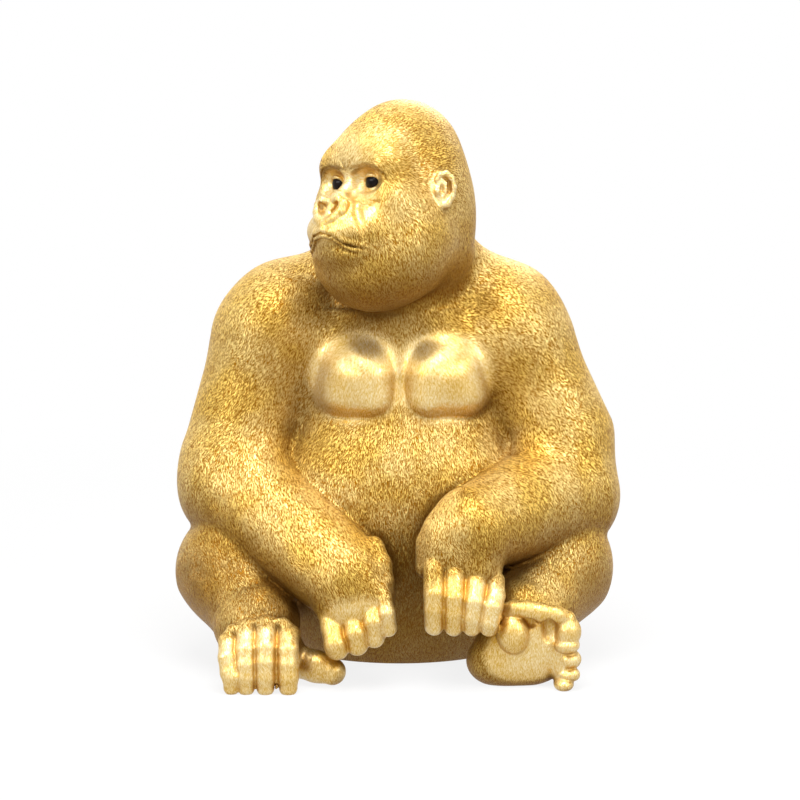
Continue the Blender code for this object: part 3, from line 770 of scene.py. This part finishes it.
# Fur flow: where a guide stroke lies, which way it runs, and how far it is felt
BODY_STROKES = (
    ((-0.095, -0.030, 0.240), (-0.60, 0.0, -0.80), 0.040),
    ((-0.110, -0.030, 0.180), (-0.60, 0.0, -0.75), 0.040),
    ((-0.130, 0.000, 0.150), (-0.30, 0.0, -0.95), 0.040),
    ((-0.100, -0.070, 0.110), (0.35, -0.2, -0.90), 0.035),
    ((-0.060, -0.095, 0.090), (0.60, -0.3, -0.75), 0.030),
    ((-0.130, -0.060, 0.060), (0.50, -0.3, -0.85), 0.035),
    ((-0.100, -0.110, 0.040), (0.20, -0.4, -0.90), 0.030),
    ((-0.040, -0.060, 0.150), (-0.35, 0.0, -0.95), 0.035),
    ((0.000, -0.070, 0.110), (0.12, 0.0, -1.00), 0.035),
    ((0.020, -0.070, 0.150), (0.10, 0.0, -1.00), 0.035),
    ((0.070, -0.020, 0.230), (0.90, 0.0, -0.40), 0.035),
    ((0.110, -0.020, 0.200), (0.70, 0.0, -0.70), 0.040),
    ((0.120, -0.030, 0.150), (0.60, 0.0, -0.75), 0.040),
    ((0.085, -0.080, 0.125), (0.60, 0.0, -0.75), 0.035),
    ((0.050, -0.100, 0.110), (0.25, -0.2, -0.95), 0.025),
    ((0.130, -0.050, 0.070), (-0.15, -0.2, -1.00), 0.035),
    ((0.100, -0.090, 0.060), (-0.20, -0.3, -0.95), 0.030),
    ((0.000, -0.020, 0.270), (0.20, -0.2, -0.90), 0.030),
    ((0.000, 0.110, 0.180), (0.00, 0.2, -1.00), 0.080),
    ((-0.090, 0.070, 0.180), (-0.40, 0.2, -0.90), 0.060),
    ((0.090, 0.070, 0.180), (0.40, 0.2, -0.90), 0.060),
)
HEAD_STROKES = (
    ((0.000, -0.035, 0.035), (0.30, 0.8, 0.60), 0.025),
    ((0.000, 0.010, 0.060), (0.20, 1.0, 0.10), 0.030),
    ((0.000, 0.060, 0.030), (0.00, 0.5, -0.80), 0.030),
    ((0.045, 0.000, 0.020), (0.20, 0.8, 0.30), 0.022),
    ((-0.045, 0.000, 0.020), (-0.20, 0.8, 0.30), 0.022),
    ((0.045, 0.000, -0.035), (0.10, 0.5, -0.80), 0.025),
    ((-0.045, 0.000, -0.035), (-0.10, 0.5, -0.80), 0.025),
    ((0.025, -0.045, -0.045), (0.15, 0.3, -0.90), 0.020),
    ((-0.025, -0.045, -0.045), (-0.15, 0.3, -0.90), 0.020),
    ((0.000, -0.060, -0.060), (0.00, 0.2, -1.00), 0.020),
)

# Bare skin: the frame, middle and radii of each patch, and its share of skin where fur is thin
BARE_PATCHES = (
    ("head", (0.000, -0.050, -0.014), (0.031, 0.030, 0.026)),
    ("head", (0.012, -0.030, 0.022), (0.034, 0.026, 0.024), 0.55),
    ("head", (0.022, -0.030, -0.014), (0.024, 0.030, 0.024), 0.45),
    ("head", (0.020, 0.010, 0.058), (0.022, 0.034, 0.022), 0.35),
    ("head", (0.0156, -0.036, 0.000), (0.014, 0.016, 0.014)),
    ("head", (-0.0156, -0.036, 0.000), (0.014, 0.016, 0.014)),
    ("head", (0.050, 0.002, -0.004), (0.011, 0.014, 0.015)),
    ("head", (-0.050, 0.002, -0.004), (0.011, 0.014, 0.015)),
    ("world", (-0.030, -0.040, 0.200), (0.036, 0.030, 0.032)),
    ("world", (0.030, -0.040, 0.200), (0.036, 0.030, 0.032)),
    ("world", (0.042, -0.125, 0.054), (0.034, 0.022, 0.026)),
    ("world", (-0.026, -0.122, 0.040), (0.030, 0.018, 0.024)),
    ("world", (-0.093, -0.130, 0.014), (0.036, 0.026, 0.032)),
    ("world", (-0.055, -0.105, 0.012), (0.022, 0.016, 0.014)),
    ("world", (0.088, -0.124, 0.028), (0.040, 0.016, 0.034)),
)


# Flow where no guide stroke is near
RESTING_FLOW = (0.0, 0.05, -0.15)

# Bare patches: where their edge starts, and how wide it is on full and on partly furred ones
BARE_EDGE = 1.12
BARE_FADE = 0.24
THIN_FADE = 0.60

# Folds, darkened by the wash and by painted shade: the heights above the skin they are felt at, and how
# strongly
FOLD_HEIGHTS = (0.0025, 0.006, 0.011)
FOLD_STRENGTH = 1.3


def flow_over(points, outward):
    """A direction along the skin at each point, drawn from the guide strokes near it."""
    total = np.tile(np.array(RESTING_FLOW), (len(points), 1))
    for frame, strokes in ((WORLD, BODY_STROKES), (HEAD, HEAD_STROKES)):
        for place, way, reach in strokes:
            apart = ((points - np.array(frame @ Vector(place))) ** 2).sum(1) / reach**2
            way = np.array(frame.to_3x3() @ Vector(way).normalized())
            total += np.exp(-apart)[:, None] * way
    total -= outward * (total * outward).sum(1)[:, None]
    return total / np.maximum(np.linalg.norm(total, axis=1), TINY)[:, None]


def bare_at(points):
    """How far each point belongs to bare skin, from 0 in the fur to 1."""
    most = np.zeros(len(points))
    for place, centre, radii, *share in BARE_PATCHES:
        frame = HEAD if place == "head" else WORLD
        patch = Egg(frame, centre, radii)
        local = (points - patch.centre) @ patch.axes
        apart = np.sqrt(((local / patch.radii) ** 2).sum(1))
        reach = np.clip((BARE_EDGE - apart) / (THIN_FADE if share else BARE_FADE), 0, 1)
        most = np.maximum(most, reach * (share[0] if share else 1))
    return most


def hollow_at(groups, points, outward):
    """How far each point lies in a fold, from 0 on an open form to 1. The wash and the painted shade of
    folds follow it.
    """
    total = np.zeros(len(points))
    for height in FOLD_HEIGHTS:
        open_air = np.clip(field(groups, points + outward * height), -height, height) / height
        total += (1 - open_air) / len(FOLD_HEIGHTS)
    return np.clip(total * FOLD_STRENGTH, 0, 1)


# Painted shade, darkest on the legs and lower belly: middle, radii and strength of each soft patch
SHADED_PATCHES = (
    ((-0.125, -0.050, 0.062), (0.045, 0.060, 0.045), 0.85),
    ((-0.095, -0.085, 0.055), (0.035, 0.040, 0.022), 0.75),
    ((0.125, -0.040, 0.060), (0.045, 0.060, 0.045), 0.50),
    ((0.000, -0.080, 0.040), (0.060, 0.060, 0.060), 0.35),
)

# Sky light: the grid it is felt through, its reach and its steps, and how many ways it comes from
SKY_VOXEL = 0.005
SKY_REACH = 0.110
SKY_STEP = 0.006
SKY_WAYS = 60

# Sky light: how bright it is from level, and how much brighter from overhead
SKY_LEVEL = 0.35
SKY_RISE = 0.75

# Rounds of evening on the painted folds and shade
FOLD_ROUNDS = 1
SHADE_ROUNDS = 6


def sky_ways():
    """Directions spread evenly over a sphere, with how bright the sky is that way."""
    index = np.arange(SKY_WAYS) + 0.5
    rise = 1 - 2 * index / SKY_WAYS
    turn = index * math.pi * (3 - math.sqrt(5))
    across = np.sqrt(1 - rise**2)
    ways = np.stack((across * np.cos(turn), across * np.sin(turn), rise), axis=1)
    return ways, np.clip(SKY_LEVEL + SKY_RISE * rise, 0, 1)


def shade_at(groups, points, outward):
    """How little light from above and around reaches each point, from 0 in the open to 1."""
    low = points.min(0) - SKY_VOXEL
    count = np.ceil((points.max(0) + SKY_VOXEL - low) / SKY_VOXEL).astype(int) + 1
    grid = np.stack(np.meshgrid(*[np.arange(size) for size in count], indexing="ij"), axis=-1)
    solid = field(groups, low + grid.reshape(-1, 3) * SKY_VOXEL) < 0
    solid = solid.reshape(count)
    start = points + outward * SKY_VOXEL * 1.2
    lit = np.zeros(len(points))
    for way, bright in zip(*sky_ways()):
        facing = outward @ way
        chosen = np.flatnonzero((facing > 0) & (bright > 0))
        clear = np.ones(len(chosen), bool)
        for far in np.arange(SKY_STEP, SKY_REACH, SKY_STEP):
            cell = np.rint((start[chosen] + way * far - low) / SKY_VOXEL).astype(int)
            inside = ((cell >= 0) & (cell < count)).all(1)
            cell = np.clip(cell, 0, count - 1)
            clear &= ~(inside & solid[cell[:, 0], cell[:, 1], cell[:, 2]])
        lit[chosen] += facing[chosen] * bright * clear
    return 1 - lit / lit.max()


def shaded_patch_at(points):
    """How far each point lies in a part that the painted shade darkens most, from 0 to 1."""
    most = np.zeros(len(points))
    for centre, radii, strength in SHADED_PATCHES:
        apart = (((points - np.array(centre)) / np.array(radii)) ** 2).sum(1)
        most = np.maximum(most, strength * np.exp(-apart))
    return most


def evened(mesh, values, rounds):
    """The values, each blended with those of its neighbours."""
    edges = np.empty(len(mesh.edges) * 2, int)
    mesh.edges.foreach_get("vertices", edges)
    first, second = edges.reshape(-1, 2).T
    count = np.bincount(edges, minlength=len(values))
    for _ in range(rounds):
        near = np.bincount(first, values[second], len(values))
        near += np.bincount(second, values[first], len(values))
        values = 0.5 * values + 0.5 * near / count
    return values


def painted(obj, name, kind, values):
    layer = obj.data.attributes.new(name, kind, "POINT")
    layer.data.foreach_set("vector" if kind == "FLOAT_VECTOR" else "value", values.ravel())


def casting():
    groups = figure()
    body = blocked_out(groups)
    remeshed(body, BLOCK_VOXEL)
    settle(body, groups, 3)
    remeshed(body, SKIN_VOXEL)
    settle(body, groups, 2)
    refined(body, FINE_SPOTS)
    settle(body, groups, 3)
    reduced(body, CASTING_TRIANGLES)
    cut_flat(body)
    points = coordinates(body.data)
    outward = normals(body.data)
    painted(body, "flow", "FLOAT_VECTOR", flow_over(points, outward))
    painted(body, "bare", "FLOAT", bare_at(points))
    folds = hollow_at(groups, points, outward)
    painted(body, "hollow", "FLOAT", evened(body.data, folds, FOLD_ROUNDS))
    # Painted shade: where little sky light reaches, and in the shaded patches, the colour turns brown.
    open_share = 1 - evened(body.data, shade_at(groups, points, outward), SHADE_ROUNDS)
    painted(body, "shade", "FLOAT", 1 - open_share * (1 - shaded_patch_at(points)))
    return body


def set_on_beads(body):
    """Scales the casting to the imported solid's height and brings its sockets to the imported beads."""
    heights = coordinates(body.data)[:, 2]
    low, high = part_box("gorilla")
    scale = (high.z - low.z) / (heights.max() - heights.min())
    bead_low, bead_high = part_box("eye_left")
    shift = (bead_low + bead_high) / 2 - HEAD @ Vector((EYE_APART, EYE_BACK, EYE_UP)) * scale
    body.data.transform(Matrix.Translation((shift.x, shift.y, low.z)) @ Matrix.Scale(scale, 4))


class Graph:
    """Short ways to lay out a shader's nodes."""

    def __init__(self, tree):
        self.tree = tree
        tree.nodes.clear()

    def add(self, kind, inputs=None, **settings):
        node = self.tree.nodes.new(kind)
        for name, value in settings.items():
            setattr(node, name, value)
        for name, value in (inputs or {}).items():
            self.feed(node.inputs[name], value)
        return node

    def feed(self, socket, value):
        if isinstance(value, bpy.types.NodeSocket):
            self.tree.links.new(value, socket)
        else:
            socket.default_value = value

    def maths(self, operation, *values, clamp=False):
        node = self.add("ShaderNodeMath", operation=operation, use_clamp=clamp)
        for socket, value in zip(node.inputs, values):
            self.feed(socket, value)
        return node.outputs[0]

    def vectors(self, operation, *values):
        node = self.add("ShaderNodeVectorMath", operation=operation)
        for socket, value in zip(node.inputs, values):
            self.feed(socket, value)
        return node.outputs["Value" if operation in ("DOT_PRODUCT", "LENGTH") else "Vector"]

    def scaled(self, vector, amount):
        node = self.add("ShaderNodeVectorMath", {"Scale": amount}, operation="SCALE")
        self.feed(node.inputs[0], vector)
        return node.outputs["Vector"]

    def mixed(self, share, one, other):
        node = self.add("ShaderNodeMix", data_type="RGBA")
        self.feed(node.inputs[0], share)
        self.feed(node.inputs[6], one)
        self.feed(node.inputs[7], other)
        return node.outputs[2]

    def eased(self, value, low, high, to_low=0.0, to_high=1.0):
        node = self.add(
            "ShaderNodeMapRange",
            {"From Min": low, "From Max": high, "To Min": to_low, "To Max": to_high, "Value": value},
            interpolation_type="SMOOTHSTEP",
        )
        return node.outputs["Result"]

    def noise(self, place, scale, detail):
        inputs = {"Vector": place, "Scale": scale, "Detail": detail}
        return self.add("ShaderNodeTexNoise", inputs)


# Fur strands: their spacing and length, the tufts that share a direction, their bend and relief
STRAND_PITCH = 0.00042
STRAND_LENGTH = 0.0030
TUFT = 0.0045
SECOND_TUFT = TUFT * 0.7
SECOND_SHIFT = (0.37, 0.11, 0.73)
CHANCE_SPREAD = 40
BEND = 1.6
BEND_SCALE = 90
RELIEF = 0.0004

# Lacquer: how metallic and how glossy it is, and the size of its warmer and paler patches
METALLIC = 0.75
GOLD_SHEEN = 0.2
PATCH_SCALE = 30

# Lacquer: where strands and patches fade between their low and high colours
STRAND_FADE = (0.84, 1.16)
PATCH_FADE = (0.35, 0.65)

# Lacquer: where the painted shade and the wash and painted shade of folds fade in, and the most they
# cover on fur and on bare skin
SHADE_FADE = (0.24, 0.95)
SHADE_MOST = (0.80, 0.30)
FOLD_FADE = (0.15, 0.80)
FOLD_MOST = (0.70, 0.62)

# Lacquer: the share of the strands' relief, and the roughness, on fur and on bare skin
RELIEF_SHARE = (1.0, 0.18)
ROUGHNESS = (0.42, 0.32)

# Lacquer colours: fur and bare skin, each low and high, the brown of painted shade, and the two browns
# of wash and painted shade in folds
# The low colours lie in the strands' valleys: the wash there, and painted shade between the strands.
FUR_VALLEY_WASH_AND_SHADE = ((0.26, 0.100, 0.002, 1), (0.36, 0.155, 0.006, 1))
FUR_RIDGE = ((0.95, 0.64, 0.14, 1), (1.0, 0.76, 0.28, 1))
SKIN_VALLEY_WASH_AND_SHADE = ((0.64, 0.37, 0.05, 1), (0.76, 0.51, 0.14, 1))
SKIN_RIDGE = ((0.86, 0.65, 0.28, 1), (0.92, 0.77, 0.45, 1))
SHADE_BROWN = (0.17, 0.065, 0.003, 1)
FUR_FOLD_WASH_AND_SHADE = (0.12, 0.045, 0.003, 1)
SKIN_FOLD_WASH_AND_SHADE = (0.50, 0.25, 0.015, 1)

# Beads: their two blacks, how fine blacks and gloss are mixed, and how glossy they are
BEAD_BLACKS = ((0.004, 0.003, 0.003, 1), (0.012, 0.008, 0.006, 1))
BEAD_CLOUD_SCALE = 260
BEAD_GLOSS_SCALE = 700
BEAD_FADE = (0.3, 0.7)
BEAD_ROUGHNESS = (0.04, 0.10)
BEAD_SHEEN = 0.1


def strands(graph, place, along, across, shift, tuft):
    """Tapered strands of fur. Each tuft draws its own, along the flow."""
    moved = graph.vectors("ADD", place, shift)
    cells = graph.add("ShaderNodeTexVoronoi", {"Vector": moved, "Scale": 1 / tuft})
    offset = graph.vectors("SUBTRACT", moved, cells.outputs["Position"])
    sideways = graph.vectors("DOT_PRODUCT", offset, across)
    sideways = graph.maths("MULTIPLY", sideways, 1 / STRAND_PITCH)
    lengthways = graph.vectors("DOT_PRODUCT", offset, along)
    lengthways = graph.maths("MULTIPLY", lengthways, 1 / STRAND_LENGTH)
    chance = graph.vectors("DOT_PRODUCT", cells.outputs["Color"], (1, 1, 1))
    chance = graph.maths("MULTIPLY", chance, CHANCE_SPREAD)
    spot = graph.add("ShaderNodeCombineXYZ", {"X": sideways, "Y": lengthways, "Z": chance})
    return graph.noise(spot.outputs[0], 1.0, 1.0).outputs["Fac"]


def gold_lacquer():
    material = bpy.data.materials.new("gold_lacquer")
    material.use_nodes = True
    graph = Graph(material.node_tree)
    place = graph.add("ShaderNodeTexCoord").outputs["Object"]
    outward = graph.add("ShaderNodeNewGeometry").outputs["Normal"]
    bare = graph.add("ShaderNodeAttribute", attribute_name="bare").outputs["Fac"]
    hollow = graph.add("ShaderNodeAttribute", attribute_name="hollow").outputs["Fac"]
    shade = graph.add("ShaderNodeAttribute", attribute_name="shade").outputs["Fac"]
    flow = graph.add("ShaderNodeAttribute", attribute_name="flow").outputs["Vector"]

    sway = graph.noise(place, BEND_SCALE, 1.0).outputs["Color"]
    bend = graph.vectors("SUBTRACT", sway, (0.5, 0.5, 0.5))
    along = graph.vectors("NORMALIZE", graph.vectors("ADD", flow, graph.scaled(bend, BEND)))
    across = graph.vectors("NORMALIZE", graph.vectors("CROSS_PRODUCT", outward, along))
    upper = strands(graph, place, along, across, (0, 0, 0), TUFT)
    lower = strands(graph, place, along, across, SECOND_SHIFT, SECOND_TUFT)
    strand = graph.eased(graph.maths("ADD", upper, lower), *STRAND_FADE)

    patch = graph.eased(graph.noise(place, PATCH_SCALE, 2.0).outputs["Fac"], *PATCH_FADE)
    # Strand valleys take the darker colour: wash and painted shade between the strands.
    fur = graph.mixed(strand, graph.mixed(patch, *FUR_VALLEY_WASH_AND_SHADE), graph.mixed(patch, *FUR_RIDGE))
    skin = graph.mixed(strand, graph.mixed(patch, *SKIN_VALLEY_WASH_AND_SHADE), graph.mixed(patch, *SKIN_RIDGE))
    surface = graph.mixed(bare, fur, skin)
    most = graph.eased(bare, 0.0, 1.0, *SHADE_MOST)
    # Painted shade: the colour goes brown where little light reaches, less on bare skin.
    shade_share = graph.maths("MULTIPLY", graph.eased(shade, *SHADE_FADE), most)
    shaded = graph.mixed(shade_share, surface, SHADE_BROWN)
    # Folds: the wash and painted shade darken the colour in them.
    deepest = graph.eased(bare, 0.0, 1.0, *FOLD_MOST)
    fold_wash_and_shade = graph.mixed(bare, FUR_FOLD_WASH_AND_SHADE, SKIN_FOLD_WASH_AND_SHADE)
    deep = graph.maths("MULTIPLY", graph.eased(hollow, *FOLD_FADE), deepest)
    coloured = graph.mixed(deep, shaded, fold_wash_and_shade)

    depth = graph.maths("MULTIPLY", strand, graph.eased(bare, 0.0, 1.0, *RELIEF_SHARE))
    bump = graph.add("ShaderNodeBump", {"Strength": 1.0, "Distance": RELIEF, "Height": depth})
    rough = graph.eased(bare, 0.0, 1.0, *ROUGHNESS)
    shader = graph.add(
        "ShaderNodeBsdfPrincipled",
        {
            "Base Color": coloured,
            "Metallic": METALLIC,
            "Roughness": rough,
            "Specular IOR Level": GOLD_SHEEN,
            "Normal": bump.outputs[0],
        },
    )
    graph.add("ShaderNodeOutputMaterial", {"Surface": shader.outputs[0]})
    return material


def black_bead():
    material = bpy.data.materials.new("black_bead")
    material.use_nodes = True
    graph = Graph(material.node_tree)
    place = graph.add("ShaderNodeTexCoord").outputs["Object"]
    cloud = graph.eased(graph.noise(place, BEAD_CLOUD_SCALE, 2.0).outputs["Fac"], *BEAD_FADE)
    colour = graph.mixed(cloud, *BEAD_BLACKS)
    grain = graph.noise(place, BEAD_GLOSS_SCALE, 2.0).outputs["Fac"]
    rough = graph.eased(grain, *BEAD_FADE, *BEAD_ROUGHNESS)
    shader = graph.add(
        "ShaderNodeBsdfPrincipled",
        {"Base Color": colour, "Roughness": rough, "Specular IOR Level": BEAD_SHEEN},
    )
    graph.add("ShaderNodeOutputMaterial", {"Surface": shader.outputs[0]})
    return material


# Studio: the floor's half width and its own grey, and how bright the room is to the figure
FLOOR_REACH = 40
FLOOR_GREY = (0.80, 0.80, 0.80, 1)
WHITE = (1, 1, 1, 1)
ROOM_LIGHT = 0.30

# Floor: where the shadow starts to fade to white, where it has, and how white the near floor is
SHADOW_NEAR = 0.25
SHADOW_FAR = 1.0
NEAR_WHITENESS = 0.85


def seen_directly(graph):
    """1 for rays from the camera and in what it sees mirrored or through glass, 0 for light."""
    rays = graph.add("ShaderNodeLightPath").outputs
    seen = graph.maths("ADD", rays["Is Camera Ray"], rays["Is Glossy Ray"], clamp=True)
    return graph.maths("ADD", seen, rays["Is Transmission Ray"], clamp=True)


def floor():
    bm = bmesh.new()
    bmesh.ops.create_grid(bm, x_segments=1, y_segments=1, size=FLOOR_REACH)
    mesh = bpy.data.meshes.new("floor")
    bm.to_mesh(mesh)
    bm.free()
    obj = bpy.data.objects.new("floor", mesh)
    bpy.context.scene.collection.objects.link(obj)
    material = bpy.data.materials.new("floor_white")
    material.use_nodes = True
    graph = Graph(material.node_tree)
    matt = graph.add("ShaderNodeBsdfDiffuse", {"Color": FLOOR_GREY})
    white = graph.add("ShaderNodeEmission", {"Color": WHITE, "Strength": 1.0})
    out = graph.vectors("LENGTH", graph.add("ShaderNodeTexCoord").outputs["Object"])
    whiteness = graph.eased(out, SHADOW_NEAR, SHADOW_FAR, NEAR_WHITENESS, 1.0)
    share = graph.maths("MULTIPLY", seen_directly(graph), whiteness)
    blend = graph.add("ShaderNodeMixShader", {0: share, 1: matt.outputs[0], 2: white.outputs[0]})
    graph.add("ShaderNodeOutputMaterial", {"Surface": blend.outputs[0]})
    mesh.materials.append(material)


def world():
    sky = bpy.data.worlds.new("studio")
    sky.use_nodes = True
    bpy.context.scene.world = sky
    graph = Graph(sky.node_tree)
    seen = seen_directly(graph)
    soft = graph.add("ShaderNodeBackground", {"Color": WHITE, "Strength": ROOM_LIGHT})
    white = graph.add("ShaderNodeBackground", {"Color": WHITE, "Strength": 1.0})
    blend = graph.add("ShaderNodeMixShader", {0: seen, 1: soft.outputs[0], 2: white.outputs[0]})
    graph.add("ShaderNodeOutputWorld", {"Surface": blend.outputs[0]})


# Softboxes: name, place, size and watts, and the point that they all face
SOFTBOXES = (
    ("overhead", (0.0, -0.45, 1.5), 1.0, 23),
    ("left", (-1.2, -1.0, 1.0), 0.8, 11),
    ("right", (1.2, -0.9, 1.0), 0.8, 11),
    ("behind", (0.3, 1.3, 1.0), 0.8, 6),
)
LIT_POINT = Vector((0, 0, 0.2))

# Camera: what it looks at, from how far, how far down, and its lens and sensor width in mm
CAMERA_TARGET = Vector((0.00099, 0.00586, 0.178))
CAMERA_DISTANCE = 1.7
CAMERA_DOWN = math.radians(9)
CAMERA_LENS = 108.05
CAMERA_SENSOR = 36
CAMERA_CLIP = 100


def lights():
    for name, place, size, power in SOFTBOXES:
        lamp = bpy.data.lights.new(name, "AREA")
        lamp.shape = "DISK"
        lamp.size = size
        lamp.energy = power
        obj = bpy.data.objects.new(name, lamp)
        obj.location = place
        aim = LIT_POINT - Vector(place)
        obj.rotation_euler = aim.to_track_quat("-Z", "Y").to_euler()
        bpy.context.scene.collection.objects.link(obj)


def camera():
    """The photograph's view, square to the chest and from a little above."""
    data = bpy.data.cameras.new("camera")
    data.sensor_width = CAMERA_SENSOR
    data.lens = CAMERA_LENS
    data.clip_end = CAMERA_CLIP
    obj = bpy.data.objects.new("camera", data)
    back = Vector((0, -math.cos(CAMERA_DOWN), math.sin(CAMERA_DOWN)))
    obj.location = CAMERA_TARGET + CAMERA_DISTANCE * back
    obj.rotation_euler = (math.radians(90) - CAMERA_DOWN, 0, 0)
    bpy.context.scene.collection.objects.link(obj)
    bpy.context.scene.camera = obj


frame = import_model()
bpy.context.scene.view_settings.view_transform = "Standard"
body = casting()
set_on_beads(body)
body.data.materials.clear()
body.data.materials.append(gold_lacquer())
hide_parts("gorilla")
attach(body, "root")
bead = black_bead()
for name in ("eye_left", "eye_right"):
    for slot in frame["nodes"][name].material_slots:
        slot.material = bead
floor()
world()
lights()
camera()
